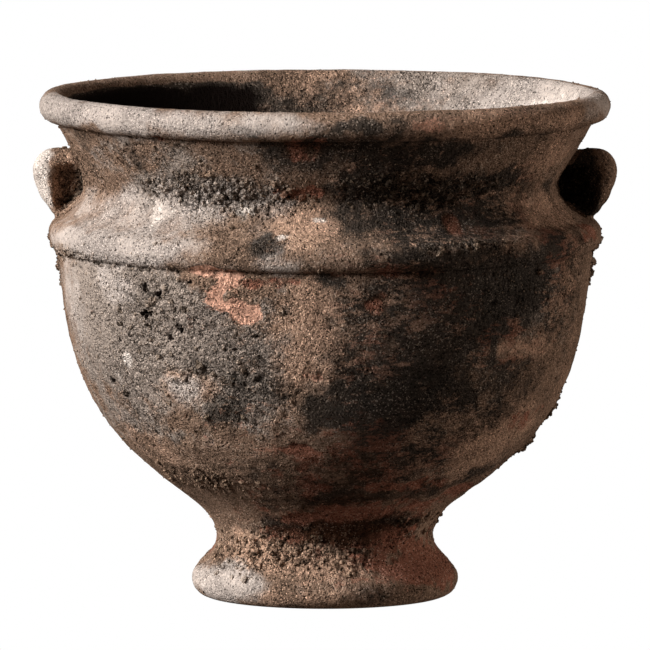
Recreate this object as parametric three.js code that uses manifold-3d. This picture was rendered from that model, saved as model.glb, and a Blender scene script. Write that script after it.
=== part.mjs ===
// A footed clay pot with a rolled lip, a hollow throat, a ridge round its shoulder and two lug handles.
// It was raised as one piece of fired clay, so it is one solid. Millimetres, +Z up, origin under the foot.
import * as THREE from "three";
import { mergeVertices } from "three/addons/utils/BufferGeometryUtils.js";
import Module from "manifold-3d";

// Driving dimensions of the outside, from the ground up
const REST_RADIUS = 74.5; // outer edge of the flat ring that the foot stands on
const TOE_BULGE = 9.7; // how far the rounded toe stands out from that edge
const TOE_HEIGHT = 10.5; // height of the foot's widest point
const WAIST_RADIUS = 68.5;
const WAIST_HEIGHT = 38.7;
const BOWL_ROOT_RADIUS = 94.4; // where the foot's hollow curve turns over into the bowl
const BOWL_ROOT_HEIGHT = 69.2;
const BELLY_RADIUS = 168.3; // just below the ridge
const BELLY_HEIGHT = 219;
const RIDGE_RADIUS = 174.3;
const RIDGE_HEIGHT = 229.3;
const RIDGE_BULGE = 8; // the ridge's bead, half an ellipse in section
const RIDGE_HALF_HEIGHT = 9.6;
const THROAT_RADIUS = 147.2;
const THROAT_HEIGHT = 262.5;
const RIM_RADIUS = 180;
const RIM_HEIGHT = 319.4; // the pot's whole height
const LIP_RADIUS = 9.2; // the rolled lip is round in section

// Driving dimensions of the hollows
const WALL = 11.5;
const FLOOR_HEIGHT = 60; // bottom of the bowl, inside
const FOOT_HOLLOW_HEIGHT = 37;
const FOOT_HOLLOW_RADIUS = 63; // inner edge of the flat ring

// Driving dimensions of the lugs: an ear with a rolled edge and a thumb hollow on both faces
const LUG_CENTRE_RADIUS = 162; // centre of the thumb hollow, from the pot's axis
const LUG_CENTRE_HEIGHT = 262;
const LUG_REACH = 19.8; // from that centre to the ear's edge
const LUG_CORNER = { angle: 40, width: 60, rise: 5 }; // the ear's upper outer corner, in degrees
const LUG_TIP = { angle: -78, width: 34, rise: 4.2 }; // its point, which runs down on to the ridge
const LUG_HALF_WIDTH = 13; // half the rolled edge's breadth, along the pot's girth
const LUG_WEB_HALF = 3.5; // half the thickness left between the two thumb hollows
const LUG_ROLL = 22; // breadth of the rolled edge as seen from the front, where it faces outwards
const LUG_ROLL_END = 8; // it is thinner where it runs over the top and under the hollow, back to the pot

// Fineness of the facets
const ROUND_STEPS = 64;
const LUG_ROUND_STEPS = 28;
const LUG_RINGS = 8;

const radians = THREE.MathUtils.degToRad;
const at = (radius, height) => new THREE.Vector2(radius, height);

// A cubic curve that leaves one point along a heading and arrives at another along its own heading.
// A heading is a direction whose length says how far the curve holds to it.
function bend(from, heading, to, arrival) {
  return new THREE.CubicBezierCurve(from, from.clone().add(heading), to.clone().sub(arrival), to);
}

// An arc of an upright ellipse, by its two end angles in degrees, counter-clockwise or clockwise.
function arc(centre, halfWidth, halfHeight, startDegrees, endDegrees) {
  const clockwise = endDegrees < startDegrees;
  return new THREE.EllipseCurve(
    centre.x,
    centre.y,
    halfWidth,
    halfHeight,
    radians(startDegrees),
    radians(endDegrees),
    clockwise,
  );
}

// The section of the wall, from the axis under the foot, up the outside, over the lip and down to the floor.
function wallSection() {
  const toe = arc(at(REST_RADIUS, TOE_HEIGHT), TOE_BULGE, TOE_HEIGHT, -90, 37);
  const waist = at(WAIST_RADIUS, WAIST_HEIGHT);
  const bowlRoot = at(BOWL_ROOT_RADIUS, BOWL_ROOT_HEIGHT);
  const belly = at(BELLY_RADIUS, BELLY_HEIGHT);
  const ridgeCentre = at(RIDGE_RADIUS - RIDGE_BULGE, RIDGE_HEIGHT);
  const ridge = arc(ridgeCentre, RIDGE_BULGE, RIDGE_HALF_HEIGHT, -75, 72);
  const throat = at(THROAT_RADIUS, THROAT_HEIGHT);
  const lipCentre = at(RIM_RADIUS - LIP_RADIUS, RIM_HEIGHT - LIP_RADIUS);
  const lip = arc(lipCentre, LIP_RADIUS, LIP_RADIUS, -98, 150);
  const lipFoot = lip.getPoint(0);
  const lipInside = lip.getPoint(1);
  const throatInside = at(THROAT_RADIUS - WALL, THROAT_HEIGHT);
  const bellyInside = at(BELLY_RADIUS - WALL, BELLY_HEIGHT);
  const ring = at(FOOT_HOLLOW_RADIUS, 0);

  // Each stretch with the number of facets that it takes.
  const stretches = [
    [bend(at(0, FOOT_HOLLOW_HEIGHT), at(50, 0), ring, at(5, -22)), 4],
    [new THREE.LineCurve(ring, at(REST_RADIUS, 0)), 1],
    [toe, 6],
    [bend(toe.getPoint(1), at(-6, 8), waist, at(0, 9)), 3],
    [bend(waist, at(0, 12), bowlRoot, at(11.4, 8.1)), 3],
    [bend(bowlRoot, at(48.8, 34.9), belly, at(4.8, 80)), 8],
    [new THREE.LineCurve(belly, ridge.getPoint(0)), 1],
    [ridge, 6],
    [bend(ridge.getPoint(1), at(-12, 4.7), throat, at(0, 10.5)), 4],
    [bend(throat, at(0, 3), lipFoot, at(7.5, 14)), 4],
    [lip, 9],
    [bend(lipInside, at(-7, -12.1), throatInside, at(0, -13)), 3],
    [bend(throatInside, at(0, -13), bellyInside, at(0, -27)), 3],
    [bend(bellyInside, at(1, -66), at(0, FLOOR_HEIGHT), at(-115, 2)), 7],
  ];
  const points = stretches.flatMap(([curve, steps], i) => curve.getPoints(steps).slice(i ? 1 : 0));
  points[0].x = 0;
  points.at(-1).x = 0;
  return points;
}

// A rounded rise of 1 at the middle of its width, in degrees, and 0 beyond it.
function bump(angle, { angle: middle, width }) {
  const share = Math.min(1, Math.abs(angle - middle) / width);
  return 0.5 + 0.5 * Math.cos(Math.PI * share);
}

// The ear's edge, as the distance from its centre at an angle in degrees above the outward direction.
function lugEdge(angle) {
  return LUG_REACH + LUG_CORNER.rise * bump(angle, LUG_CORNER) + LUG_TIP.rise * bump(angle, LUG_TIP);
}

// Half the ear's thickness at a distance in from its edge: a rolled edge, part of an ellipse in section from
// the edge to its crest, then a soft fall to the web. The roll fades out towards the pot, where its two ends
// run into the wall.
function lugHalfThickness(inset, angle) {
  const outwards = bump(angle, { angle: 25, width: 115 });
  const roll = THREE.MathUtils.lerp(LUG_ROLL_END, LUG_ROLL, outwards);
  const across = Math.min(1, Math.abs(inset / roll - 0.5) * 2);
  const outerSide = Math.sqrt(1 - across * across);
  const innerSide = 0.5 + 0.5 * Math.cos(Math.PI * across);
  const rolled = LUG_HALF_WIDTH * (inset < roll / 2 ? outerSide : innerSide);
  const fromEdge = Math.min(1, inset / LUG_WEB_HALF);
  const web = LUG_WEB_HALF * Math.sqrt(1 - (1 - fromEdge) ** 2);
  const sunk = THREE.MathUtils.smoothstep(Math.abs(angle), 125, 155);
  return Math.max(web, rolled * (1 - sunk));
}

// One ear on the +X side. A disc is turned about its own middle, then each ring is drawn out to the ear's
// edge and given the ear's thickness.
function lugGeometry() {
  const rings = Array.from({ length: LUG_RINGS + 1 }, (_, i) => Math.sin((i / LUG_RINGS) * (Math.PI / 2)));
  const front = rings.map((share) => at(share, share - 1));
  const back = rings.slice(0, -1).reverse();
  const disc = [...front, ...back.map((share) => at(share, 1 - share))];
  disc[0].x = 0;
  disc.at(-1).x = 0;
  const geometry = new THREE.LatheGeometry(disc, LUG_ROUND_STEPS);
  const position = geometry.getAttribute("position");
  const corner = new THREE.Vector3();
  for (let i = 0; i < position.count; i += 1) {
    corner.fromBufferAttribute(position, i);
    const share = Math.hypot(corner.x, corner.z);
    const turn = Math.atan2(corner.z, corner.x);
    const angle = THREE.MathUtils.radToDeg(turn);
    const edge = lugEdge(angle);
    const half = lugHalfThickness(edge * Math.max(0, 1 - share), angle);
    position.setXYZ(
      i,
      LUG_CENTRE_RADIUS + edge * share * Math.cos(turn),
      Math.sign(corner.y) * half,
      LUG_CENTRE_HEIGHT + edge * share * Math.sin(turn),
    );
  }
  return geometry;
}

const wasm = await Module();
wasm.setup();

// A closed geometry as a solid that can be joined to another.
function toSolid(geometry) {
  geometry.deleteAttribute("normal");
  geometry.deleteAttribute("uv");
  const merged = mergeVertices(geometry, 1e-3);
  const mesh = new wasm.Mesh({
    numProp: 3,
    vertProperties: merged.getAttribute("position").array,
    triVerts: new Uint32Array(merged.index.array),
  });
  return new wasm.Manifold(mesh);
}

// A joined solid back as a geometry that can be drawn.
function toGeometry(solid) {
  const { vertProperties, triVerts } = solid.getMesh();
  const geometry = new THREE.BufferGeometry();
  geometry.setAttribute("position", new THREE.BufferAttribute(vertProperties, 3));
  geometry.setIndex(new THREE.BufferAttribute(triVerts, 1));
  geometry.computeVertexNormals();
  return geometry;
}

// The turned vessel stands on +Z once its turning axis is brought upright. It starts half a facet round, so
// that the middle of a facet, and not an edge, faces each lug.
const halfFacet = Math.PI / ROUND_STEPS;
const turned = new THREE.LatheGeometry(wallSection(), ROUND_STEPS, halfFacet);
const vessel = toSolid(turned.rotateX(Math.PI / 2));
const rightLug = toSolid(lugGeometry());
const leftLug = toSolid(lugGeometry().rotateZ(Math.PI));

const firedClay = new THREE.MeshStandardMaterial({ color: 0x6b5a4e, roughness: 0.95, metalness: 0 });
const pot = new THREE.Mesh(toGeometry(vessel.add(rightLug).add(leftLug)), firedClay);
pot.name = "clay_pot";

const object = new THREE.Group();
object.name = "footed_clay_pot";
object.add(pot);

export default object;
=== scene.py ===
# %% [markdown]
# # A weathered clay pot
# The packed solid already has the pot's true form. This lesson replaces it with a finer surface of the same
# form, weathers that surface with relief that is worked out vertex by vertex, scatters the soil that clings
# to it, and paints all of it with one procedural finish. All lengths below are in millimetres until a mesh
# is made.

# %% Load the frame
import bpy
import numpy as np
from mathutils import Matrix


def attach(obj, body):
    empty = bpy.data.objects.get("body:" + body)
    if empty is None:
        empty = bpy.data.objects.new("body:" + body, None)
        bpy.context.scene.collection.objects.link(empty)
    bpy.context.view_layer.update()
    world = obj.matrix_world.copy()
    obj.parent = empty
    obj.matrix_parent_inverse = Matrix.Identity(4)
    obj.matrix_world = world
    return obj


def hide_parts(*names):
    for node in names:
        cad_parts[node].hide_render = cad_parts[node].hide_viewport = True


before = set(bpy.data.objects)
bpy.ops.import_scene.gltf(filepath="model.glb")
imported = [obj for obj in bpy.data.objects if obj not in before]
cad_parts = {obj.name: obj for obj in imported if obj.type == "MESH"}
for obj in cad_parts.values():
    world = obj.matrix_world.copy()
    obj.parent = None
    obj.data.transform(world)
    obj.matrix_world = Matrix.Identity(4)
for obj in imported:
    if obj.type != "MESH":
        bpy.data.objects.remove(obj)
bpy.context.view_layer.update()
MM = 0.001
NODE = "clay_pot"

# %% [markdown]
# ## Noise
# Clay that has lain in the ground is never even. Blender's own texture nodes could colour it, but relief
# that is to be exported has to be in the mesh, so the noise is worked out here with numpy, for all points
# at once. Two kinds are enough: a soft wandering noise, and a cell noise that gives each point its distance
# to the nearest of many scattered seeds, which is the natural start of a pit or a grain.

# %% Soft noise on whole arrays
CELL_FACTORS = np.array([73856093, 19349663, 83492791], dtype=np.uint32)
SEED_FACTOR = 2654435
SEED_RANGE = 4294967291
STIR_FACTOR = np.uint32(2246822519)
STIR_SHIFTS = (15, 13, 16)
LAST_SHIFT = np.uint32(14)
LATTICE_SHIFT = 17.31
CORNERS = np.stack(np.meshgrid((0, 1), (0, 1), (0, 1), indexing="ij"), -1).reshape(-1, 3)
WANDER_GAIN = 1.5
LAYER_GAIN = 1.6


def scramble(cells, seed):
    """A number from 0 to 1 for each whole-number cell: its three indices are multiplied by large odd
    numbers, mixed with the seed and stirred, so that neighbouring cells have nothing in common."""
    wrapped = cells.astype(np.int64).astype(np.uint32) * CELL_FACTORS
    mixed = wrapped[..., 0] ^ wrapped[..., 1] ^ wrapped[..., 2]
    mixed = mixed ^ np.uint32(seed * SEED_FACTOR % SEED_RANGE)
    for shift in STIR_SHIFTS:
        mixed = (mixed ^ (mixed >> np.uint32(shift))) * STIR_FACTOR
    return (mixed ^ (mixed >> LAST_SHIFT)) / 2.0**32


def wander(points, size, seed):
    """Soft noise from -1 to 1 with features of about the given size: each corner of a lattice holds a
    random slope, and the eight slopes round a point are blended by a smooth curve of its place in the
    cell."""
    place = points / size + seed * LATTICE_SHIFT
    cell = np.floor(place)
    inside = place - cell
    ease = inside**3 * (inside * (inside * 6 - 15) + 10)
    total = np.zeros(len(points))
    for corner in CORNERS:
        slope = np.stack([scramble(cell + corner, seed * 3 + axis) for axis in range(3)], -1) * 2 - 1
        weight = np.where(corner == 1, ease, 1 - ease).prod(-1)
        total += weight * (slope * (inside - corner)).sum(-1)
    return np.clip(total * WANDER_GAIN, -1, 1)


def layered(points, size, seed, layers=4, fade=0.55):
    """Several layers of soft noise, each half the size of the last and weaker by fade, and their mean, a
    little strengthened."""
    weights = fade ** np.arange(layers)
    noises = [wander(points, size / 2**i, seed + i) for i in range(layers)]
    return np.einsum("i,ij->j", weights, np.array(noises)) / weights.sum() * LAYER_GAIN


trial = np.random.default_rng(1).uniform(0, 100, (2000, 3))
print("noise runs from", wander(trial, 10, 1).min().round(2), "to", wander(trial, 10, 1).max().round(2))

# %% Scattered seeds and soft steps
NEIGHBOURS = np.stack(np.meshgrid((-1, 0, 1), (-1, 0, 1), (-1, 0, 1), indexing="ij"), -1).reshape(-1, 3)
FAR_OFF = 9.0


def seeds_near(points, size, seed):
    """Distance to the nearest scattered seed, in cells, and that seed's own random number: every cell of a
    lattice holds one seed at a random place, and the 27 cells round a point are searched."""
    place = points / size
    cell = np.floor(place)
    nearest = np.full(len(points), FAR_OFF)
    chance = np.zeros(len(points))
    for step in NEIGHBOURS:
        home = cell + step
        spot = home + np.stack([scramble(home, seed + axis) for axis in range(3)], -1)
        distance = np.linalg.norm(place - spot, axis=-1)
        closer = distance < nearest
        nearest = np.where(closer, distance, nearest)
        chance = np.where(closer, scramble(home, seed + 7), chance)
    return nearest, chance


def smooth(low, high, value):
    """0 below low, 1 above high, and an even S-curve between them."""
    share = np.clip((value - low) / (high - low), 0, 1)
    return share * share * (3 - 2 * share)


print("the mean distance to a seed is", seeds_near(trial, 10, 1)[0].mean().round(2), "cells")

# %% [markdown]
# ## The turned wall
# A potter turns this shape, so it is one section carried round an axis. The section runs from the axis
# under the foot, up the outside, over the rolled lip and down the inside to the bowl's floor, as arcs and
# smooth curves. Blender's Screw modifier could turn it, but a grid made directly has known rows, and its
# spacing can be fine outside, where the weathering shows, and wide inside.

# %% Driving sizes of the wall
REST_RADIUS = 74.5
TOE_BULGE = 9.7
TOE_HEIGHT = 10.5
WAIST = np.array([68.5, 38.7])
BOWL_ROOT = np.array([94.4, 69.2])
BELLY = np.array([168.3, 219.0])
RIDGE_CENTRE = np.array([166.3, 229.3])
RIDGE_BULGE = 8.0
RIDGE_HALF_HEIGHT = 9.6
THROAT = np.array([147.2, 262.5])
RIM_RADIUS = 180.0
RIM_HEIGHT = 319.4
LIP_RADIUS = 9.2
WALL = 11.5
FLOOR_HEIGHT = 60.0
FOOT_HOLLOW = np.array([63.0, 37.0])
print("the rim is", 2 * RIM_RADIUS, "mm across and", RIM_HEIGHT, "mm up")

# %% Section of the wall
CURVE_POINTS = 60


def bend(start, heading, end, arrival):
    """A cubic curve that leaves its start along one heading and reaches its end along another. A heading's
    length says how far the curve holds to it."""
    t = np.linspace(0, 1, CURVE_POINTS)[:, None]
    start, end = np.asarray(start, float), np.asarray(end, float)
    first, second = start + heading, end - np.asarray(arrival, float)
    return (1 - t) ** 3 * start + 3 * (1 - t) ** 2 * t * first + 3 * (1 - t) * t**2 * second + t**3 * end


def arc(centre, half_width, half_height, start, end):
    """Part of an upright ellipse, between two angles in degrees."""
    turn = np.radians(np.linspace(start, end, CURVE_POINTS))
    return np.asarray(centre) + np.stack([half_width * np.cos(turn), half_height * np.sin(turn)], -1)


def evenly(line, spacing):
    """The same line with its points moved to even steps of about the given spacing."""
    steps = np.linalg.norm(np.diff(line, axis=0), axis=1)
    along = np.concatenate([[0], np.cumsum(steps)])
    places = np.linspace(0, along[-1], max(2, round(along[-1] / spacing) + 1))
    return np.stack([np.interp(places, along, line[:, axis]) for axis in range(2)], -1)


toe = arc((REST_RADIUS, TOE_HEIGHT), TOE_BULGE, TOE_HEIGHT, -90, 37)
ridge = arc(RIDGE_CENTRE, RIDGE_BULGE, RIDGE_HALF_HEIGHT, -75, 72)
lip = arc((RIM_RADIUS - LIP_RADIUS, RIM_HEIGHT - LIP_RADIUS), LIP_RADIUS, LIP_RADIUS, -98, 150)
throat_inside = THROAT - (WALL, 0)
belly_inside = BELLY - (WALL, 0)
ring_inside = np.array([FOOT_HOLLOW[0], 0.0])

# Each stretch of the section, with the spacing of its points.
under = [
    (bend((0, FOOT_HOLLOW[1]), (50, 0), ring_inside, (5, -22)), 8.0),
    (np.array([ring_inside, toe[0]]), 3.0),
]
outside = [
    (toe, 2.3),
    (bend(toe[-1], (-6, 8), WAIST, (0, 9)), 2.2),
    (bend(WAIST, (0, 12), BOWL_ROOT, (11.4, 8.1)), 2.3),
    (bend(BOWL_ROOT, (48.8, 34.9), BELLY, (4.8, 80)), 2.3),
    (np.array([BELLY, ridge[0]]), 1.5),
    (ridge, 1.9),
    (bend(ridge[-1], (-12, 4.7), THROAT, (0, 10.5)), 2.2),
    (bend(THROAT, (0, 3), lip[0], (7.5, 14)), 2.2),
    (lip, 2.1),
]
inside = [
    (bend(lip[-1], (-7, -12.1), throat_inside, (0, -13)), 3.2),
    (bend(throat_inside, (0, -13), belly_inside, (0, -27)), 4.5),
    (bend(belly_inside, (1, -66), (0, FLOOR_HEIGHT), (-115, 2)), 9.0),
]


def chain(stretches):
    """The stretches one after another, each at its own spacing, with no point twice."""
    lines = [evenly(line, spacing) for line, spacing in stretches]
    return np.concatenate([lines[0]] + [line[1:] for line in lines[1:]])


section = chain(under + outside + inside)
print(len(section), "points in the wall's section")

# %% [markdown]
# ## Making a closed mesh from a grid
# Every shape here is a grid of points with one point closing each end: the turned wall, a lug and a crumb
# of soil. One function turns such a grid into faces, so the seams and the poles are closed in the same way.

# %% A grid as a closed mesh
ROUND = 372
FRONT_CLOSENESS = 1.6
FRONT_FADE = (-0.45, 0.1)
DENSITY_STEPS = 4001


def grid_faces(rows, columns):
    """Faces of a grid that closes on itself sideways, with one extra point before it and one after it:
    squares between the rows and a fan of triangles at both ends. Point 0 is the first end, and the grid
    follows it."""
    here = 1 + np.arange(rows * columns).reshape(rows, columns)
    beside = np.roll(here, -1, axis=1)
    squares = np.stack([here[:-1], beside[:-1], beside[1:], here[1:]], -1).reshape(-1, 4)
    last = rows * columns + 1
    first_fan = np.stack([np.zeros(columns, int), beside[0], here[0]], -1)
    last_fan = np.stack([np.full(columns, last), here[-1], beside[-1]], -1)
    return squares, np.concatenate([first_fan, last_fan])


def make_piece(name, points, faces):
    """A Blender object at the origin, from points in millimetres and one or more arrays of faces."""
    mesh = bpy.data.meshes.new(name)
    mesh.from_pydata((points * MM).tolist(), [], [face for part in faces for face in part.tolist()])
    piece = bpy.data.objects.new(name, mesh)
    bpy.context.scene.collection.objects.link(piece)
    return piece


def column_angles():
    """Angles round the axis, closer together over the front half that the photograph shows: the running
    total of a density round the pot, cut into equal shares."""
    turn = np.linspace(0, 2 * np.pi, DENSITY_STEPS)
    total = np.cumsum(1 + FRONT_CLOSENESS * smooth(*FRONT_FADE, -np.sin(turn)))
    return np.interp(np.linspace(total[0], total[-1], ROUND, endpoint=False), total, turn)


def turned(line):
    """The line carried round the upright axis. Its first and last points lie on the axis."""
    turn = column_angles()
    radius, height = line[1:-1, 0, None], line[1:-1, 1, None]
    wall = np.stack([radius * np.cos(turn), radius * np.sin(turn), height + 0 * turn], -1)
    ends = np.stack([[0, 0, line[0, 1]], [0, 0, line[-1, 1]]])
    return np.concatenate([ends[:1], wall.reshape(-1, 3), ends[1:]]), grid_faces(len(line) - 2, ROUND)


pot = make_piece("weathered_pot", *turned(section))
print(len(pot.data.vertices), "points in the turned wall")

# %% [markdown]
# ## The lugs
# Each lug is an ear of clay with a rolled edge and a hollow pressed into both faces by a thumb and a
# finger. Seen from the front its edge is a circle that swells into a corner at the top and a point at the
# bottom. A grid in that circle's own angle and radius gives the ear directly: the radius sets how far in
# from the edge a point is, and that distance sets the thickness. A swelling is given by its middle and
# width in degrees above the outward direction, and by its rise.

# %% Two ears
LUG_CENTRE = np.array([162.0, 262.0])
LUG_REACH = 19.8
LUG_CORNER = (40, 60, 5.0)
LUG_TIP = (-78, 34, 4.2)
LUG_HALF_WIDTH = 13.0
LUG_WEB_HALF = 3.5
LUG_ROLL = 22.0
LUG_ROLL_END = 8.0
LUG_ROLL_SWELL = (25, 115, 1)
LUG_SUNK = (125, 155)
LUG_COLUMNS = 64
LUG_RINGS = 18


def swell(angle, middle, width, rise):
    """A rounded rise at the middle angle that is gone at the given width to either side, in degrees."""
    share = np.clip(np.abs(angle - middle) / width, 0, 1)
    return rise * (0.5 + 0.5 * np.cos(np.pi * share))


def ear(side):
    """One lug at the right (side 1) or left (side -1). Half its thickness is a thin web with a rolled edge,
    added as the two sides of a right angle. The roll is an ellipse from the edge to its crest, then a soft
    fall, and it fades where it is sunk in the wall."""
    angle = np.linspace(-180, 180, LUG_COLUMNS, endpoint=False)
    share = np.sin(np.linspace(0, np.pi / 2, LUG_RINGS + 1))[1:, None]
    edge = LUG_REACH + swell(angle, *LUG_CORNER) + swell(angle, *LUG_TIP)
    inset = edge * (1 - share)
    roll = LUG_ROLL_END + (LUG_ROLL - LUG_ROLL_END) * swell(angle, *LUG_ROLL_SWELL)
    across = np.clip(np.abs(inset / roll - 0.5) * 2, 0, 1)
    profile = np.where(inset < roll / 2, np.sqrt(1 - across**2), 0.5 + 0.5 * np.cos(np.pi * across))
    rolled = LUG_HALF_WIDTH * profile * (1 - smooth(*LUG_SUNK, np.abs(angle)))
    web = LUG_WEB_HALF * np.sqrt(1 - (1 - np.clip(inset / LUG_WEB_HALF, 0, 1)) ** 2)
    half = np.hypot(web, rolled)
    out = LUG_CENTRE[0] + edge * share * np.cos(np.radians(angle))
    up = LUG_CENTRE[1] + edge * share * np.sin(np.radians(angle))
    back = np.stack([out, half, up], -1)
    front = np.stack([out, -half, up], -1)[-2::-1]
    rows = np.concatenate([back, front])
    middle = np.array([LUG_CENTRE[0], LUG_WEB_HALF, LUG_CENTRE[1]])
    points = np.concatenate([[middle], rows.reshape(-1, 3), [middle * (1, -1, 1)]])
    return points * (side, side, 1), grid_faces(len(rows), LUG_COLUMNS)


lugs = [make_piece(f"lug_{side}", *ear(side)) for side in (1, -1)]
print(len(lugs), "lugs of", len(lugs[0].data.vertices), "points")

# %% [markdown]
# ## Reading and writing a mesh
# Blender hands over a mesh's numbers fastest in one go: foreach_get and foreach_set move a whole flat
# array. These helpers wrap that. The last one takes the mean over each point's neighbours, which is all
# that smoothing needs.

# %% Arrays from a mesh
def read_points(mesh):
    """The mesh's points in millimetres."""
    flat = np.empty(len(mesh.vertices) * 3)
    mesh.vertices.foreach_get("co", flat)
    return flat.reshape(-1, 3) / MM


def write_points(mesh, points):
    """Puts points in millimetres back into the mesh."""
    mesh.vertices.foreach_set("co", (points * MM).ravel())
    mesh.update()


def read_edges(mesh):
    """The two point numbers of every edge."""
    flat = np.empty(len(mesh.edges) * 2, dtype=np.int32)
    mesh.edges.foreach_get("vertices", flat)
    return flat.reshape(-1, 2)


def read_normals(mesh):
    """The outward direction at every point."""
    flat = np.empty(len(mesh.vertices) * 3, dtype=np.float32)
    mesh.vertex_normals.foreach_get("vector", flat)
    return flat.reshape(-1, 3).astype(float)


def neighbour_mean(values, edges):
    """For every point, the mean of a value or vector over the points that an edge joins it to."""
    values = values.reshape(len(values), -1)
    start, end = edges.T
    count = np.bincount(edges.ravel(), minlength=len(values))
    sums = [
        np.bincount(start, column[end], len(values)) + np.bincount(end, column[start], len(values))
        for column in values.T
    ]
    return (np.stack(sums, -1) / np.maximum(count, 1)[:, None]).squeeze()


print(len(read_edges(pot.data)), "edges in the turned wall")

# %% [markdown]
# ## One body of clay
# The lugs were pressed on to the wet wall and smoothed in, so there is no seam. A Boolean union makes one
# closed skin of the three shapes, and then only the hollow creases round the lugs are relaxed: each of
# their points moves towards the mean of its neighbours, as a wet finger draws clay into a joint.

# %% Join and smooth in
JOINT_REACH = 34
JOINT_HALF_WIDTH = 24
JOINT_DEPTH = 4
CREASE_HOLLOW = (0.15, 0.5)
CREASE_ROUNDS = 4
CREASE_FADE = 0.85
CREASE_GAIN = 1.5
MOST_RELAXED = 0.6
RELAX_ROUNDS = 14

for lug in lugs:
    union = pot.modifiers.new("join", "BOOLEAN")
    union.operation = "UNION"
    union.solver = "MANIFOLD"
    union.object = lug
joined = bpy.data.meshes.new_from_object(pot.evaluated_get(bpy.context.evaluated_depsgraph_get()))
pot.modifiers.clear()
pot.data = joined
for lug in lugs:
    bpy.data.objects.remove(lug)

points = read_points(joined)
edges = read_edges(joined)
near_lug = np.hypot(np.abs(points[:, 0]) - LUG_CENTRE[0], points[:, 2] - LUG_CENTRE[1]) < JOINT_REACH
near_lug &= np.abs(points[:, 1]) < JOINT_HALF_WIDTH
near_lug &= np.hypot(points[:, 0], points[:, 1]) > THROAT[0] - JOINT_DEPTH
hollow = ((neighbour_mean(points, edges) - points) * read_normals(joined)).sum(-1)
crease = np.where(near_lug, smooth(*CREASE_HOLLOW, hollow), 0)
for _ in range(CREASE_ROUNDS):
    crease = np.maximum(crease, CREASE_FADE * neighbour_mean(crease, edges))
crease = np.clip(crease * CREASE_GAIN, 0, MOST_RELAXED) * near_lug
for _ in range(RELAX_ROUNDS):
    points += (neighbour_mean(points, edges) - points) * crease[:, None]
write_points(joined, points)
print(len(joined.polygons), "faces in one body,", int((crease > 0.05).sum()), "points smoothed in")
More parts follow.
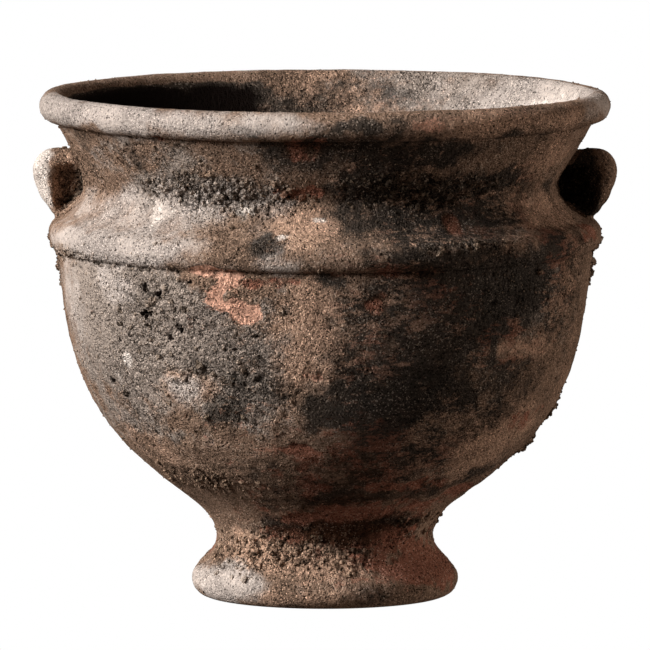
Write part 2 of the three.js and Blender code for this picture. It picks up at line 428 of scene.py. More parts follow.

# %% [markdown]
# ## Where the weathering lies
# The photograph shows patches: grey clay on the lit side, pale ash where the surface is chalky, spots of
# lime, tan and red where the skin has worn off, fresh flakes, single deep pits, soot, rusty flecks, pitted
# clay, crusted soil and streaks from turning. The soot field also carries painted shade: thick soot stands in
# for the shade at the waist and for the shadow inside. Each patch is a soft ellipse on the surface, given by
# the angle round the pot from the front (to the right is positive), its height, its half breadth and half
# height, and its strength. A strength over 1 keeps a patch whole nearly to its edge. Noise warps the
# ellipses, so that none of them shows as one. A vertex attribute keeps each kind, so that the relief and
# the colours agree.

# %% Patches of colour
PATCHES = {
    "grey": [
        (-48, 178, 115, 55, 1.0),
        (-20, 165, 55, 45, 0.8),
        (-45, 286, 110, 24, 0.5),
        (-58, 122, 50, 24, 0.7),
        (12, 242, 60, 12, 0.3),
        (-30, 266, 70, 16, 1.0),
        (44, 203, 55, 34, 0.7),
    ],
    "ash": [
        (-50, 250, 76, 15, 0.65),
        (-52, 231, 82, 11, 1.2),
        (-55, 312, 110, 10, 1.1),
        (-10, 313, 40, 8, 0.75),
        (-30, 263, 62, 13, 0.6),
        (-72, 190, 22, 45, 0.5),
        (-34, 146, 17, 9, 0.75),
        (-52, 206, 20, 12, 0.8),
        (-52, 14, 40, 11, 1.3),
        (78, 314, 45, 8, 0.7),
        (180, 314, 200, 9, 0.7),
    ],
    "lime": [
        (-50, 161, 5, 5, 1.0),
        (-56, 147, 6, 8, 0.6),
        (-19, 256, 8, 4, 0.8),
        (-42, 254, 10, 7, 0.6),
        (-1, 252, 9, 2.5, 0.8),
        (-9, 241, 7, 3, 0.7),
        (-52, 14, 36, 10, 0.4),
    ],
    "tan": [
        (-4, 246, 22, 13, 0.85),
        (-4, 186, 28, 32, 0.8),
        (-3, 158, 18, 12, 0.9),
        (66, 250, 30, 14, 0.9),
        (62, 285, 26, 16, 0.6),
        (-30, 34, 46, 13, 1.3),
        (50, 168, 30, 8, 0.7),
        (-56, 105, 32, 14, 0.7),
        (74, 150, 24, 55, 0.35),
        (40, 310, 80, 9, 0.9),
        (-14, 7, 40, 7, 0.6),
        (25, 142, 24, 5, 0.5),
        (38, 233, 50, 6, 0.45),
        (-34, 146, 20, 10, 0.9),
        (56, 120, 40, 14, 0.8),
        (52, 100, 44, 20, 0.9),
    ],
    "red": [
        (-12, 214, 24, 4, 0.7),
        (-5, 297, 14, 9, 0.55),
        (-7, 269, 16, 4.5, 0.9),
        (-37, 300, 5, 2.5, 0.9),
        (10, 199, 10, 8, 0.7),
        (57, 120, 36, 12, 0.5),
        (-6, 106, 16, 5, 0.9),
        (-6, 94, 12, 4, 0.7),
        (-8, 57, 26, 5, 0.85),
        (55, 26, 40, 16, 1.0),
        (20, 64, 60, 14, 0.6),
        (30, 247, 6, 5, 0.8),
        (73, 232, 20, 6, 0.7),
        (60, 72, 26, 6, 0.7),
        (28, 80, 45, 6, 0.6),
        (10, 221, 40, 5, 0.5),
        (0, 92, 70, 26, 0.45),
        (30, 28, 50, 16, 0.5),
        (-5, 60, 40, 12, 0.5),
        # Red under the soot at the waist, which turns that soot to the burnt brown of the painted shade
        # there.
        (14, 46, 50, 10, 1.0),
    ],
    "flake": [
        (-26, 220, 11, 2.5, 1.1),
        (-21, 218.5, 10, 2.5, 1.1),
        (-21, 213, 6, 4, 1.1),
        (-24, 207, 6, 4, 1.1),
        (-24, 202, 6, 3.5, 1.1),
        (-21, 198, 10, 4.5, 1.2),
        (-18, 194, 12, 6, 1.3),
        (-2, 155, 9, 4, 0.8),
        (22, 311, 12, 5, 0.8),
    ],
    "pit": [
        (-38, 203, 3.5, 3.5, 1.0),
        (-33, 183, 3, 3, 1.0),
        (-41, 191, 4, 2, 1.0),
        (-42, 207, 3, 4, 0.9),
        (-59, 145, 4, 2.5, 1.0),
        (-36, 176, 2.5, 2, 0.9),
        (-20, 172, 3, 2, 0.9),
        (-15, 180, 3, 2, 0.9),
        (-52, 173, 2.5, 2, 0.8),
        (-30, 212, 3, 2, 0.8),
    ],
    "soot": [
        (41, 204, 55, 34, 1.15),
        (40, 168, 5, 13, 1.5),
        (16, 138, 54, 22, 1.5),
        (30, 185, 110, 55, 0.9),
        (18, 296, 90, 12, 1.0),
        (30, 270, 80, 18, 1.0),
        (28, 248, 75, 13, 1.2),
        (45, 231, 80, 8, 0.9),
        # Painted shade under the belly: thick soot at the waist, burnt brown over the red there.
        (8, 47, 56, 11, 1.6),
        (6, 78, 60, 18, 0.7),
        (7, 311, 24, 7, 1.05),
        (40, 306, 24, 5, 1.0),
        (-16, 309, 14, 4, 1.0),
        (22, 9, 16, 6, 0.25),
        (-11, 238, 10, 9, 1.2),
        (1, 216, 11, 5, 1.3),
        (-20, 145, 44, 20, 0.6),
        (28, 100, 75, 30, 0.8),
        (-45, 291, 90, 13, 0.4),
        (-40, 203, 5, 4, 0.8),
    ],
    "flecked": [
        (48, 168, 45, 20, 0.9),
        (20, 200, 45, 30, 0.8),
        (12, 170, 40, 25, 0.8),
        (28, 262, 70, 16, 0.7),
        (30, 244, 60, 10, 0.8),
        (58, 245, 40, 18, 1.0),
        (60, 285, 30, 20, 0.9),
        (25, 108, 90, 35, 0.9),
        (62, 205, 30, 40, 0.9),
        (-5, 60, 60, 14, 0.8),
        (20, 22, 60, 14, 0.8),
        (10, 290, 60, 16, 0.5),
        (-5, 200, 60, 50, 0.6),
        (-20, 120, 60, 40, 0.5),
        (40, 312, 60, 8, 0.7),
    ],
    "pitted": [
        (-36, 190, 80, 40, 1.0),
        (-24, 155, 60, 34, 0.9),
        (-28, 266, 60, 14, 1.0),
        (-29, 32, 52, 15, 1.0),
        (-42, 287, 70, 12, 0.6),
        (28, 268, 70, 12, 0.7),
        (41, 204, 48, 28, 0.6),
        (-48, 120, 40, 25, 0.7),
        (-76, 268, 26, 18, 1.0),
        (-15, 240, 40, 12, 0.6),
    ],
    "crust": [
        (-27, 266, 52, 11, 1.0),
        (-80, 264, 12, 14, 0.7),
        (-17, 258, 24, 9, 0.7),
        (28, 269, 55, 9, 0.7),
        (-30, 35, 46, 12, 1.0),
        (4, 31, 34, 7, 0.8),
        (-70, 221, 40, 3.5, 0.8),
        (-38, 219, 40, 3, 0.45),
        (45, 53, 26, 5, 0.7),
        (-45, 84, 32, 9, 0.6),
        (-34, 155, 20, 4, 0.7),
        (-40, 198, 26, 20, 0.5),
        (-90, 212, 9, 12, 1.0),
        (90, 217, 9, 13, 0.9),
        (88, 118, 10, 9, 0.9),
        (87, 98, 12, 7, 0.9),
        (34, 234, 40, 4, 0.7),
    ],
    "streaked": [
        (10, 105, 120, 40, 1.0),
        (30, 165, 90, 35, 0.7),
        (60, 245, 40, 14, 0.6),
    ],
}

# The far wall inside, seen over the near lip: black painted shadow at the left, then brown, then chalky
# in the light.
INSIDE = {
    "grey": [(150, 290, 110, 60, 0.8)],
    "ash": [(118, 292, 66, 45, 1.15), (152, 296, 60, 26, 0.35), (98, 290, 60, 45, 1.3)],
    "tan": [(172, 290, 80, 40, 0.45)],
    "lime": [(108, 304, 44, 14, 0.55)],
    # The strongest soot inside, at the left, is painted shadow: black where the near wall shades the far
    # wall.
    "soot": [(-120, 290, 130, 60, 2.2), (-165, 280, 70, 30, 0.9), (172, 285, 80, 40, 0.6)],
    "flecked": [(175, 290, 60, 26, 0.4)],
    "pitted": [(165, 285, 130, 45, 0.45)],
}

# The hidden side is plainer: a few broad patches of each kind, drawn at random behind the lugs.
BEHIND = {
    "grey": 5,
    "ash": 4,
    "tan": 5,
    "red": 6,
    "soot": 5,
    "flecked": 5,
    "pitted": 4,
    "crust": 4,
    "streaked": 3,
}
BEHIND_ANGLES = (105, 255)
BEHIND_HEIGHTS = (20, 285)
BEHIND_BREADTHS = (25, 65)
BEHIND_TALLNESS = (0.2, 0.6)
BEHIND_STRENGTHS = (0.6, 1.0)
drawn = np.random.default_rng(23)
for kind, count in BEHIND.items():
    angle = drawn.uniform(*BEHIND_ANGLES, count)
    height = drawn.uniform(*BEHIND_HEIGHTS, count)
    breadth = drawn.uniform(*BEHIND_BREADTHS, count)
    tall = breadth * drawn.uniform(*BEHIND_TALLNESS, count)
    strength = drawn.uniform(*BEHIND_STRENGTHS, count)
    PATCHES[kind] += list(zip(angle, height, breadth, tall, strength))
print(sum(len(patches) for patches in PATCHES.values()), "patches outside")

# %% [markdown]
# ## From patches to fields
# The wall's two faces are told apart by their distance from the axis, compared with the section at that
# height. Then every patch is measured along the surface, and the strongest one wins. The result is one
# field for each kind of weathering: a number at every point, 0 where there is none of it.

# %% Spread the patches
PATCH_FADE = (0.25, 1.6)
LIP_CREST_INSIDE = 1.5

radius = np.hypot(points[:, 0], points[:, 1])
height = points[:, 2]
round_angle = np.degrees(np.arctan2(points[:, 0], -points[:, 1]))


def radius_at(stretches):
    """The radius of part of the section at every point's height."""
    line = chain(stretches)
    order = np.argsort(line[:, 1])
    return np.interp(height, line[order, 1], line[order, 0])


outer_radius = radius_at(outside)
is_inside = (radius < (outer_radius + radius_at(inside)) / 2) & (height > FLOOR_HEIGHT - 1)
is_inside |= (radius < RIM_RADIUS - LIP_RADIUS - LIP_CREST_INSIDE) & (height > RIM_HEIGHT - LIP_RADIUS)
is_under = (radius < REST_RADIUS) & (height < FOOT_HOLLOW[1] + 1) & (radius < outer_radius - 4)


def spread(kind):
    """How strongly each point has this kind of weathering: the strongest of its patches, or 0. A patch
    fades from its middle outwards, and noise both moves the place that is measured and stretches the
    patch."""
    seed = 40 + list(PATCHES).index(kind) * 5
    push = np.stack([layered(points, 36, seed, 5, 0.6), layered(points, 28, seed + 2, 5, 0.6)], -1)
    swelling = 1 + 0.4 * layered(points, 50, seed + 4, 3)
    best = np.zeros(len(points))
    patches = [(patch, ~is_inside) for patch in PATCHES[kind]]
    patches += [(patch, is_inside) for patch in INSIDE.get(kind, [])]
    for (angle, middle, breadth, tall, strength), face in patches:
        turn = (round_angle - angle + 180) % 360 - 180
        sideways = np.radians(turn) * radius + push[:, 0] * min(20, breadth * 0.6)
        upwards = height - middle + push[:, 1] * min(14, tall * 0.8)
        reach = np.hypot(sideways / breadth, upwards / tall) * swelling
        best = np.maximum(best, face * strength * (1 - smooth(*PATCH_FADE, reach)))
    return np.where(is_under, 0, best)


weathering = {kind: spread(kind) for kind in PATCHES}
print({kind: round(float((field > 0.5).mean()), 3) for kind, field in weathering.items()})

# %% [markdown]
# ## Wear and painted shade on the lugs and the rim
# Hands have marked the lugs in their own way. The thumb hollows are crusted and painted dark as shade, the
# end of the left lug is chalky and smooth, and round the right lug's hollow soot is painted as shade. All of
# it is measured from the middle of a hollow, with noise on the distance. Inside, thick soot and black painted
# shadow cover the wall, but the top of the lip is clean.

# %% Wear on the lugs and the rim
HOLLOW_MIDDLE = (-1.0, -3.0)
HOLLOW_HALF = (6.0, 17.0)

out_from_lug = np.abs(points[:, 0]) - LUG_CENTRE[0]
over_lug = height - LUG_CENTRE[1]
off_middle = np.abs(points[:, 1])
proud = radius - outer_radius
is_right = points[:, 0] > 0
ragged = layered(points, 9, 33, 4, 0.7)
outwards = np.maximum(out_from_lug - HOLLOW_MIDDLE[0], 0) / HOLLOW_HALF[0]
from_hollow = np.hypot(outwards, (over_lug - HOLLOW_MIDDLE[1]) / HOLLOW_HALF[1]) + 0.3 * ragged

at_lug = (radius > outer_radius - 1) * ~is_inside * (1 - smooth(18, 25, np.abs(over_lug)))
in_hollow = at_lug * (1 - smooth(8, 12, off_middle))
on_lug = at_lug * (1 - smooth(13, 15, off_middle))
lug_hollow = in_hollow * (1 - smooth(0.6, 1.25, from_hollow))
lug_wear = in_hollow * (1 - smooth(1.0, 1.7, from_hollow))
lug_shade = on_lug * is_right * smooth(1, 5, proud) * (1 - smooth(1.3, 2.7, from_hollow))
lug_face = on_lug * ~is_right * smooth(5, 15, out_from_lug + 3 * ragged) * (1 - lug_wear)
lug_skin = on_lug * ~is_right * smooth(2, 6, proud)
on_rim = is_inside * smooth(RIM_HEIGHT - 9, RIM_HEIGHT - 4, height)

for kind, gone in (("ash", lug_wear), ("lime", lug_wear), ("crust", lug_face), ("pitted", lug_face)):
    weathering[kind] = weathering[kind] * (1 - gone)
# The soot in the thumb hollows and round the right lug is painted shade.
added = [
    ("soot", (0.95 + is_right) * lug_hollow),
    ("soot", 1.2 * lug_shade),
    ("crust", 0.6 * lug_hollow),
    ("pitted", lug_wear),
    ("tan", 0.5 * lug_skin),
    ("ash", 0.9 * lug_face),
    ("lime", 0.85 * lug_face),
]
for kind, field in added:
    weathering[kind] = np.maximum(weathering[kind], field)
weathering["soot"] *= 1 - on_rim
# Painted shadow: black over the inside below the lip's top, and in the right lug's hollow.
weathering["black"] = np.maximum(is_inside * (1 - on_rim), 0.6 * lug_hollow * is_right)
print(int((lug_hollow > 0.5).sum()), "points in the thumb hollows,", int((on_rim > 0.5).sum()), "on the rim")

# %% [markdown]
# ## Relief
# Now the surface is moved along its own normals. Broad noise makes the wall hand-made, noise that is long
# sideways leaves the marks of turning, and fine noise roughens it, least where the clay is chalky.
# Scattered seeds bite pits, flaked patches sink, and crusted patches swell into clods. Only the large grain
# is in the mesh: sand finer than the mesh's spacing is left to the material's bump.

# %% Roughen, pit and crust the surface
SIDEWAYS = np.array([1, 1, 6.0])
PIT_SPACING = 8.5
CLOD_SPACING = 6.5
FLAKE_DEPTH = 0.7
SINGLE_PIT_DEPTH = 1.8

skin = np.where(is_inside, 0.1 + 0.5 * smooth(200, 270, height), 1.0)
chalky = np.clip(weathering["ash"], 0, 1)
plain = 1 - 0.7 * chalky
gritty = weathering["pitted"]
relief = 0.45 * layered(points, 85, 3, 2)
relief += 0.28 * layered(points * SIDEWAYS, 40, 8, 3) * plain
relief += (0.3 + 0.7 * gritty) * layered(points, 12, 12, 3) * plain * skin
relief += (0.25 + 0.8 * gritty) * layered(points, 5.6, 16, 2) * plain * skin

pit_distance, pit_chance = seeds_near(points, PIT_SPACING, 61)
pit_size = 0.18 + 0.3 * pit_chance
pits = (1 - smooth(pit_size * 0.4, pit_size, pit_distance)) * (pit_chance > 0.4)
relief -= pits * (0.25 + 1.1 * np.maximum(gritty, 0.7 * weathering["crust"])) * plain

clod_distance, clod_chance = seeds_near(points + 1.2 * wander(points, 5, 5)[:, None], CLOD_SPACING, 83)
clods = (1 - smooth(0.1, 0.75, clod_distance)) * (0.4 + clod_chance)
relief += weathering["crust"] * (0.3 + 2.2 * clods + 1.3 * layered(points, 8, 31, 3))

flaked = np.maximum(weathering["red"], weathering["flake"])
relief -= FLAKE_DEPTH * smooth(0.4, 0.6, flaked + 0.15 * layered(points, 9, 71, 3))
relief -= SINGLE_PIT_DEPTH * smooth(0.2, 0.8, weathering["pit"])
print("relief runs from", relief.min().round(2), "to", relief.max().round(2), "mm")

# %% [markdown]
# ## The ridge, the left lug and the lip
# Three places need relief of their own. The ridge was pressed on, which left a narrow groove below it and,
# on the right, above it. Clay was smeared into the corner under the left lug. The lip, which is knocked
# most, is chipped. The foot's last few millimetres are left smooth, so that the pot still stands flat.

# %% Grooves, smear and chips
RIDGE_FOOT_HEIGHT = 218.5
RIDGE_TOP_HEIGHT = 240.5
SMEAR_ANGLE = -84
SMEAR_HEIGHT = 258
SMEAR_RISE = 5.0
CHIP_SPACING = 26
CHIP_DEPTH = 1.3
STANDING_EDGE = (0.5, 4.0)


def bell(value, middle, half):
    """1 at the middle, and falling to either side as a bell curve of this half breadth."""
    return np.exp(-(((value - middle) / half) ** 2))


under_ridge = bell(height, RIDGE_FOOT_HEIGHT, 1.6) * (1 - 0.5 * smooth(-15, 20, round_angle))
over_ridge = bell(height, RIDGE_TOP_HEIGHT, 1.8) * smooth(15, 45, round_angle)
relief -= (0.8 * under_ridge + 0.5 * over_ridge) * (radius > BELLY[0] - 8)

smear = bell(round_angle, SMEAR_ANGLE, 16) * bell(height, SMEAR_HEIGHT, 17)
relief += SMEAR_RISE * smear * ~is_inside * (1 - smooth(2, 9, proud))

chip_distance, chip_chance = seeds_near(points * (1, 1, 0.3), CHIP_SPACING, 97)
chips = (chip_chance > 0.7) * (1 - smooth(0.08, 0.3, chip_distance))
relief -= CHIP_DEPTH * chips * smooth(RIM_HEIGHT - 18, RIM_HEIGHT - 8, height)

relief *= smooth(*STANDING_EDGE, height)
weathered = points + read_normals(joined) * relief[:, None]
write_points(joined, weathered)
joined.polygons.foreach_set("use_smooth", np.ones(len(joined.polygons), dtype=bool))
print("with its edges the relief runs from", relief.min().round(2), "to", relief.max().round(2), "mm")

# %% [markdown]
# ## Keeping the fields on the mesh
# The materials read these fields as attributes. One more is measured from the finished relief: how far each
# point lies below the mean of its neighbours, which is where the finish paints shade.

# %% Attributes
CAVITY_GAIN = 1.2


def store(piece, fields):
    """Writes each field as a number per point of the piece."""
    for name, field in fields.items():
        layer = piece.data.attributes.new(name, "FLOAT", "POINT")
        layer.data.foreach_set("value", field.astype(np.float32))


hollow = ((neighbour_mean(weathered, edges) - weathered) * read_normals(joined)).sum(-1)
weathering["cavity"] = np.clip(0.5 + hollow * CAVITY_GAIN, 0, 1)
store(pot, weathering)
print("attributes:", list(weathering))

# %% [markdown]
# ## Clinging soil
# Crumbs of burial soil sit in the crusted bands and break the outline below the ridge, and grit stands out
# of the worn clay. Particles would be lost when the model is exported, so each crumb is a real little lump,
# half sunk in the wall, and all of one sort are one mesh. Their places are drawn over the mesh's triangles,
# weighted by area and by the weathering there. A crumb takes over the fields of its place, so it has the
# clay's colours.

# %% Where crumbs can lie
BARE_FOOT = 3.0

joined.calc_loop_triangles()
flat = np.empty(len(joined.loop_triangles) * 3, dtype=np.int32)
joined.loop_triangles.foreach_get("vertices", flat)
triangles = flat.reshape(-1, 3)
corner = weathered[triangles]
across = np.cross(corner[:, 1] - corner[:, 0], corner[:, 2] - corner[:, 0])
area = np.linalg.norm(across, axis=-1) / 2
bare = is_inside | is_under | (height < BARE_FOOT)
print(len(triangles), "triangles of the wall,", int(bare.sum()), "points of it kept bare")

# %% Scatter crumbs and grit
SIZE_SPREAD = 0.45
STAND_PROUD = 0.15
LUMPINESS = (0.6, 1.35)
FLATTENED = 0.7
CRUMB_SIZES = (0.45, 0.85, 2.5)
GRIT_SIZES = (0.25, 0.45, 1.0)


def ball(rows, columns):
    """A unit ball of a few rings and two poles, in the order that grid_faces() expects."""
    tilt = np.linspace(0, np.pi, rows + 2)[1:-1, None]
    turn = np.linspace(0, 2 * np.pi, columns, endpoint=False)
    rings = np.stack([np.sin(tilt) * np.cos(turn), np.sin(tilt) * np.sin(turn), np.cos(tilt) + 0 * turn], -1)
    return np.concatenate([[[0, 0, 1]], rings.reshape(-1, 3), [[0, 0, -1]]])


def scatter(name, count, rows, columns, likely, sizes, seed):
    """One mesh of many lumps: balls whose every point has its own random radius, flattened along the wall's
    normal and turned at random about it. The likelihood is a field over the wall's points, and the sizes
    are the least, the usual and the greatest radius."""
    drawn = np.random.default_rng(seed)
    weight = area * np.where(bare, 0, likely)[triangles].mean(-1)
    chosen = drawn.choice(len(triangles), count, p=weight / weight.sum())
    share = drawn.dirichlet((1, 1, 1), count)
    outward = across[chosen] / np.linalg.norm(across[chosen], axis=-1, keepdims=True)
    least, usual, most = sizes
    size = np.clip(drawn.lognormal(np.log(usual), SIZE_SPREAD, count), least, most)
    spot = (corner[chosen] * share[..., None]).sum(1) + outward * size[:, None] * STAND_PROUD
    shape = ball(rows, columns)
    lumps = shape[None] * drawn.uniform(*LUMPINESS, (count, len(shape), 1)) * size[:, None, None]
    aside = np.cross(outward, drawn.normal(size=(count, 3)))
    aside /= np.linalg.norm(aside, axis=-1, keepdims=True)
    axes = np.stack([aside, np.cross(outward, aside), outward * FLATTENED], 1)
    placed = np.einsum("cpi,cij->cpj", lumps, axes) + spot[:, None]
    shift = (np.arange(count) * len(shape))[:, None, None]
    faces = [(part[:, ::-1] + shift).reshape(-1, part.shape[1]) for part in grid_faces(rows, columns)]
    piece = make_piece(name, placed.reshape(-1, 3), faces)
    fields = {kind: field[triangles[chosen, 0]] for kind, field in weathering.items()}
    fields["soil"] = drawn.uniform(0.3, 1, count)
    store(piece, {kind: np.repeat(field, len(shape)) for kind, field in fields.items()})
    print(count, "lumps in", name, "of", sum(len(part) * (part.shape[1] - 2) for part in faces), "triangles")
    return piece


crust_field = weathering["crust"] ** 1.5 + 0.05 * gritty
grit_field = gritty + 0.6 * weathering["crust"] + 0.12 * (1 - chalky)
crumbs = scatter("clinging_soil", 5200, 3, 6, likely=crust_field, sizes=CRUMB_SIZES, seed=5)
grit = scatter("standing_grit", 9000, 2, 5, likely=grit_field, sizes=GRIT_SIZES, seed=6)

# %% [markdown]
# ## Writing shader maths
# A procedural material is arithmetic on textures. Wrapping a node's socket in a small class lets that
# arithmetic be written as plain expressions: adding two sockets adds a Math node. Every other node is made
# by one method that takes its type, its settings and its inputs.

# %% A socket that can be calculated with
class Socket:
    """One output of a shader node. The operators add Math nodes, and node() adds any other node."""

    def __init__(self, tree, output):
        self.tree = tree
        self.output = output

    def node(self, kind, settings, inputs, output=0):
        """A new node: its settings are set first, then each input gets a value or a link."""
        made = self.tree.nodes.new(kind)
        for name, value in settings.items():
            setattr(made, name, value)
        for name, value in inputs.items():
            if isinstance(value, Socket):
                self.tree.links.new(value.output, made.inputs[name])
            else:
                made.inputs[name].default_value = value
        return Socket(self.tree, made.outputs[output])

    def calculate(self, operation, first, second):
        """A Math node on two values."""
        return self.node("ShaderNodeMath", {"operation": operation}, {0: first, 1: second})

    def __add__(self, other):
        return self.calculate("ADD", self, other)

    def __sub__(self, other):
        return self.calculate("SUBTRACT", self, other)

    def __rsub__(self, other):
        return self.calculate("SUBTRACT", other, self)

    def __mul__(self, other):
        return self.calculate("MULTIPLY", self, other)

    def limit(self, low, high):
        """0 below low, 1 above high, and an even S-curve between, as smooth() does for arrays."""
        settings = {"interpolation_type": "SMOOTHSTEP"}
        return self.node("ShaderNodeMapRange", settings, {"Value": self, "From Min": low, "From Max": high})

    def limit_to(self, low, high):
        """The value kept between low and high."""
        return self.node("ShaderNodeClamp", {}, {"Value": self, "Min": low, "Max": high})

    def stretch(self, x, y, z):
        """A place with its three coordinates multiplied, which squeezes a texture along each axis."""
        return self.node("ShaderNodeVectorMath", {"operation": "MULTIPLY"}, {0: self, 1: (x, y, z)})

    def paint(self, under, over):
        """A colour that goes from under to over as this value goes from 0 to 1."""
        settings = {"data_type": "RGBA", "clamp_factor": True}
        return self.node("ShaderNodeMix", settings, {0: self, 6: under, 7: over}, 2)

    def dim(self, colour):
        """The colour multiplied by this value."""
        return self.node("ShaderNodeVectorMath", {"operation": "SCALE"}, {0: colour, "Scale": self})

    def noise(self, scale, detail, roughness=0.55):
        """Soft noise at this place, with so many features to the metre."""
        inputs = {"Vector": self, "Scale": scale, "Detail": detail, "Roughness": roughness}
        return self.node("ShaderNodeTexNoise", {}, inputs)

    def seeds(self, scale, output):
        """Distance to the nearest of many scattered seeds ("Distance") or its own random colour
        ("Color")."""
        return self.node("ShaderNodeTexVoronoi", {}, {"Vector": self, "Scale": scale}, output)

    def attribute(self, name):
        """A vertex attribute of the piece."""
        return self.node("ShaderNodeAttribute", {"attribute_name": name}, {}, "Fac")

    __radd__ = __add__
    __rmul__ = __mul__


def new_finish(name):
    """An empty material with its Principled shader, and its Object coordinates as a socket."""
    material = bpy.data.materials.new(name)
    material.use_nodes = True
    tree = material.node_tree
    coordinates = tree.nodes.new("ShaderNodeTexCoord")
    return material, tree.nodes["Principled BSDF"], Socket(tree, coordinates.outputs["Object"])


def connect(shader, **sockets):
    """Links each named input of the shader. An underscore in a name stands for a space."""
    for name, socket in sockets.items():
        socket.tree.links.new(socket.output, shader.inputs[name.replace("_", " ")])


print("a socket can", [name for name in vars(Socket) if not name.startswith("_")])

# %% [markdown]
# ## Ragged masks
# A field fades softly from point to point, but real wear has a speckled edge. So rough noise of many sizes
# is added to the field before it is cut to a sharper edge. Every layer of colour is masked in this way.

# %% Colours and masks
GREY = (0.27, 0.225, 0.195, 1)
BROWN = (0.24, 0.16, 0.115, 1)
TAN = (0.49, 0.32, 0.23, 1)
ASH = (0.45, 0.395, 0.363, 1)
RED = (0.28, 0.118, 0.079, 1)
FLAKE = (0.68, 0.385, 0.28, 1)
LIME = (0.74, 0.665, 0.61, 1)
# Soot, which also colours the painted shade and shadow.
SOOT_AND_SHADE = (0.041, 0.035, 0.030, 1)
# Burnt brown: soot over red clay, and the warm painted shade at the waist.
BURNT_AND_WARM_SHADE = (0.045, 0.022, 0.012, 1)
# Painted shade and shadow: the colour of the holes, the hollows and the inside.
PAINTED_SHADE = (0.008, 0.005, 0.004, 1)
DUST = (0.50, 0.41, 0.34, 1)
SOIL = (0.34, 0.25, 0.175, 1)


def worn(place, kind, scale, low, high, share=2.0, roughness=0.75, squeeze=1):
    """Where a kind of weathering shows, 0 to 1: its field plus a share of noise, cut between low and high.
    The noise has so many features to the metre, and a squeeze over 1 makes them long sideways."""
    ragged = place.stretch(1, 1, squeeze).noise(scale, 6, roughness) - 0.5
    return (place.attribute(kind) + ragged * share).limit(low, high)


print("the clay's colours run from", PAINTED_SHADE[:3], "to", LIME[:3])

# %% [markdown]
# ## Layers of colour
# The colours are laid one over another, as they came about: grey or brown clay, smoke stains and painted
# shade, rusty flecks, tan where the skin is worn, chalky ash, red where the skin has gone, fresh flakes,
# white lime, and last the thick soot and painted shadow, where the soot's strength is near 1 or more. Soot on
# red clay is burnt brown, and so is the painted shade at the waist. Crumbs and grit are tinted with soil.

# %% Layers of colour
def paint_layers(place, cloud, red, flake, blackened):
    """The clay's colour: each layer is painted over the last one where its own mask shows."""
    # Soot's colour, burnt brown over red clay; it also colours the painted shade and shadow.
    soot_and_shade_colour = place.attribute("red").limit(0.1, 0.7).paint(SOOT_AND_SHADE, BURNT_AND_WARM_SHADE)
    rust = cloud.limit(-0.12, 0.12).paint(TAN, RED)
    layers = [
        (worn(place, "soot", 34, 0.2, 0.75, 2.6) * 0.92, soot_and_shade_colour),
        (worn(place, "flecked", 80, 0.7, 1.05, 5, 0.85, 2.5) * 0.6, rust),
        (worn(place, "tan", 38, 0.2, 0.95, 2.6) * 0.9, TAN),
        (worn(place, "ash", 45, 0.1, 0.85, 1.4, 0.7) * 0.95, ASH),
        (red * 0.9, RED),
        (flake * 0.95, FLAKE),
        (worn(place, "lime", 50, 0.3, 0.8) * 0.95, LIME),
        (blackened * 0.92, soot_and_shade_colour),
        (place.attribute("soil") * 0.4, SOIL),
    ]
    colour = worn(place, "grey", 30, 0.3, 0.7, 2.4).paint(BROWN, GREY)
    for mask, over in layers:
        colour = mask.paint(colour, over)
    print(len(layers), "layers over grey and brown clay")
    return colour


# %% [markdown]
# ## Grain, holes and bump
# Over the layers comes what is finer than the mesh: streaks from turning, sand with a few pale grains, dust
# that sparkles on it, pinholes, wider holes in the worn clay and gaps between the crumbs of the crust. The
# holes, the gaps and the hollows of the mesh are darkened as painted shade.
# The bump is made of the same parts, with heights in millimetres, so that light and colour agree. The wall
# and everything that clings to it share this one finish.

# %% The finish of the clay
GRAINS = 1300
PINHOLES = 330
HOLES = 190
CRUMBS = 240


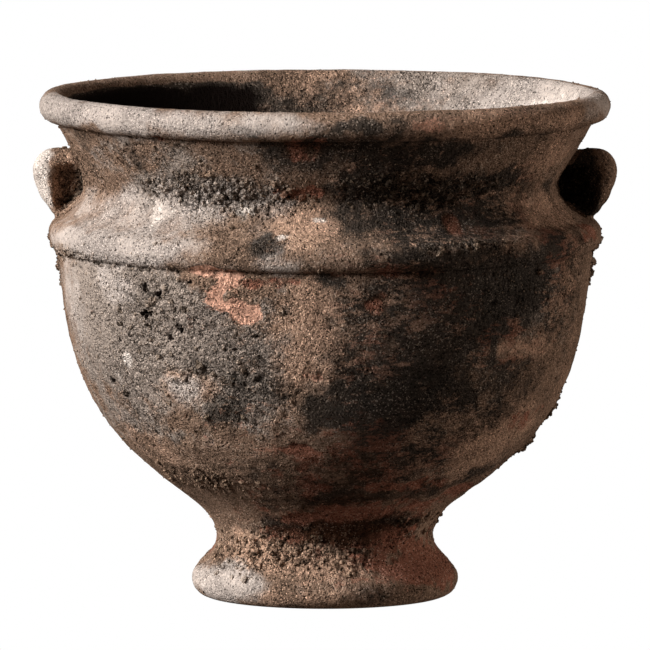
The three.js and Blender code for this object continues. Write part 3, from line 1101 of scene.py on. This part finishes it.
def clay_finish():
    """The layers of colour, made lighter or darker by clouds, streaks and grain, then dusted, and darkened
    with painted shade in the holes and hollows and with painted shadow inside. Cubing a grain's random number
    leaves most grains plain and makes a few stand out."""
    material, shader, place = new_finish("fired_clay")
    cloud = place.noise(13, 4, 0.6) - 0.5
    dirt = (place.noise(30, 5, 0.7) - 0.5) * 4
    lump = place.noise(260, 2, 0.6) - 0.5
    speck = place.noise(430, 1, 0.6) - 0.5
    streak = place.stretch(1, 1, 12).noise(28, 5, 0.72) - 0.5
    chance = place.seeds(GRAINS, "Color") - 0.5
    grain = chance * chance * chance * 8
    red = worn(place, "red", 60, 0.4, 0.65)
    flake = worn(place, "flake", 90, 0.4, 0.65, 2.4)
    # Thick soot, and the painted shade and shadow that are laid as soot of strength near 1 or more.
    blackened = worn(place, "soot", 45, 0.85, 1.5, 1.6)
    pitted = worn(place, "pitted", 55, 0.25, 0.75, 2.6)
    colour = paint_layers(place, cloud, red, flake, blackened)

    smoothed = place.attribute("ash") * 0.35 + flake * 0.6 + cloud * 1.5
    coarse = (pitted * 0.4 + 0.85 - smoothed).limit_to(0.4, 1.3)
    rise = (lump * (pitted * 0.5 + 0.1) + speck * 0.7 + grain * 3.2) * coarse
    tone = cloud + dirt * 0.35 + streak * place.attribute("streaked") * 2.5
    colour = (tone + rise + 1).limit_to(0.12, 2.6).dim(colour)
    spark = chance.limit(0.26, 0.32) * (dirt * 1.8 + 0.35).limit_to(0, 1)
    colour = (spark * 0.5).paint(colour, DUST)

    # Painted shade: pinholes, wider holes and single pits are darkened as the shade in them.
    pinhole = (1 - place.seeds(PINHOLES, "Distance").limit(0.12, 0.3)) * place.noise(290, 1).limit(0.55, 0.63)
    holed = (place.attribute("crust") * 0.4 + pitted * 0.5 + dirt).limit(0.6, 1.0)
    hole = (1 - place.seeds(HOLES, "Distance").limit(0.12, 0.34)) * holed
    pit = worn(place, "pit", 180, 0.35, 0.7, 1.2)
    crusted = worn(place, "crust", 60, 0.25, 0.8, 1.6)
    gap = place.seeds(CRUMBS, "Distance").limit(0.2, 0.75) * crusted
    # Painted shade in the mesh's hollows and in the gaps of the crust.
    crevice_shade = place.attribute("cavity").limit(0.6, 0.95) * 0.6 + gap.limit(0.6, 1.0) * 0.25
    # Painted shadow: black inside the pot and in the right lug's hollow.
    black = blackened * place.attribute("black")
    colour = (pinhole * 0.6 + hole * 0.35 + pit * 0.75 + crevice_shade + black).paint(colour, PAINTED_SHADE)

    grain_edge = place.seeds(GRAINS, "Distance")
    height = (lump * (pitted * 2.6 + 0.5) + speck * 1.7 - grain_edge * 0.8) * coarse + dirt * 0.35
    height = height - pinhole * 1.2 - hole - gap * 2.2 - red * 0.3 - flake * 0.6
    bump = place.node("ShaderNodeBump", {}, {"Strength": 1.0, "Distance": MM, "Height": height}, "Normal")
    connect(shader, Base_Color=colour, Normal=bump)
    shader.inputs["Roughness"].default_value = 0.95
    shader.inputs["Specular IOR Level"].default_value = 0.05
    return material


finish = clay_finish()
pot.data.materials.clear()
for piece in (pot, crumbs, grit):
    piece.data.materials.append(finish)
    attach(piece, "root")
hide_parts(NODE)
print("one finish of", len(finish.node_tree.nodes), "nodes")

# %% [markdown]
# ## Studio
# The photograph is lit by one strong light from the left and above. The shadows are warm and deep, and a
# weak broad light from behind on the right picks out the right edge. The ground is plain white with no
# shadow, so the floor only glows: it takes no light and sends none up to the pot. The world is white for
# the camera and a dim warm fill for everything else.

# %% White floor
FLOOR_HALF = 20.0
WHITE = (1, 1, 1, 1)
NO_COLOUR = (0, 0, 0, 1)
SEEN_STRENGTH = 1.0

floor_corners = [(x * FLOOR_HALF, y * FLOOR_HALF, 0) for x, y in ((-1, -1), (1, -1), (1, 1), (-1, 1))]
floor_mesh = bpy.data.meshes.new("floor")
floor_mesh.from_pydata(floor_corners, [], [(0, 1, 2, 3)])
floor = bpy.data.objects.new("floor", floor_mesh)
bpy.context.scene.collection.objects.link(floor)
floor.visible_diffuse = False
floor.visible_glossy = False
floor.visible_shadow = False
paper = bpy.data.materials.new("white_paper")
paper.use_nodes = True
paper_shader = paper.node_tree.nodes["Principled BSDF"]
paper_shader.inputs["Base Color"].default_value = NO_COLOUR
paper_shader.inputs["Specular IOR Level"].default_value = 0.0
paper_shader.inputs["Emission Color"].default_value = WHITE
paper_shader.inputs["Emission Strength"].default_value = SEEN_STRENGTH
floor_mesh.materials.append(paper)
print("a white floor,", 2 * FLOOR_HALF, "m across")

# %% Lights and world
FILL_TINT = (1.0, 0.8, 0.67, 1)
FILL_STRENGTH = 0.095


def add_sun(name, around, above, strength, breadth, tint):
    """A distant soft light: degrees round from the camera (to the right is positive) and above the floor,
    and its own breadth in degrees, which softens the shadows."""
    light = bpy.data.lights.new(name, "SUN")
    light.energy = strength
    light.angle = np.radians(breadth)
    light.color = tint
    lamp = bpy.data.objects.new(name, light)
    lamp.rotation_euler = (np.radians(90 - above), 0, np.radians(around))
    bpy.context.scene.collection.objects.link(lamp)


add_sun("key", around=-67, above=27, strength=5.5, breadth=28, tint=(1.0, 0.96, 0.92))
add_sun("rim_fill", around=106, above=-4, strength=1.2, breadth=24, tint=(1.0, 0.86, 0.74))

world = bpy.data.worlds.new("studio")
bpy.context.scene.world = world
world.use_nodes = True
light_path = world.node_tree.nodes.new("ShaderNodeLightPath")
seen = Socket(world.node_tree, light_path.outputs["Is Camera Ray"])
background = world.node_tree.nodes["Background"]
connect(background, Strength=seen * (SEEN_STRENGTH - FILL_STRENGTH) + FILL_STRENGTH)
connect(background, Color=seen.paint(FILL_TINT, WHITE))
bpy.context.scene.view_settings.view_transform = "Standard"

# %% [markdown]
# ## Camera
# The rim's ellipse is thin and the outline hardly converges, so the photograph was taken from far off with
# a long lens, from a little above. The camera stands six metres away and looks at the pot's middle.

# %% Camera
CAMERA_PLACE = np.array([0, -6.0, 0.80])
CAMERA_AIM = np.array([0, 0, 0.1708])
SENSOR = 36.0
IMAGE_SIDE = 650
SCALE_AT_AXIS = 0.6316 * MM

camera_data = bpy.data.cameras.new("camera")
gaze = CAMERA_AIM - CAMERA_PLACE
camera_data.sensor_width = SENSOR
camera_data.lens = float(np.linalg.norm(gaze) / SCALE_AT_AXIS * SENSOR / IMAGE_SIDE)
camera = bpy.data.objects.new("camera", camera_data)
camera.location = CAMERA_PLACE
camera.rotation_euler = (float(np.pi / 2 + np.arctan2(gaze[2], gaze[1])), 0, 0)
bpy.context.scene.collection.objects.link(camera)
bpy.context.scene.camera = camera
print("lens", round(camera_data.lens), "mm")

# %% [markdown]
# ## Sizes
# The dressed pot has to fill the solid's box and no more, apart from a little relief.
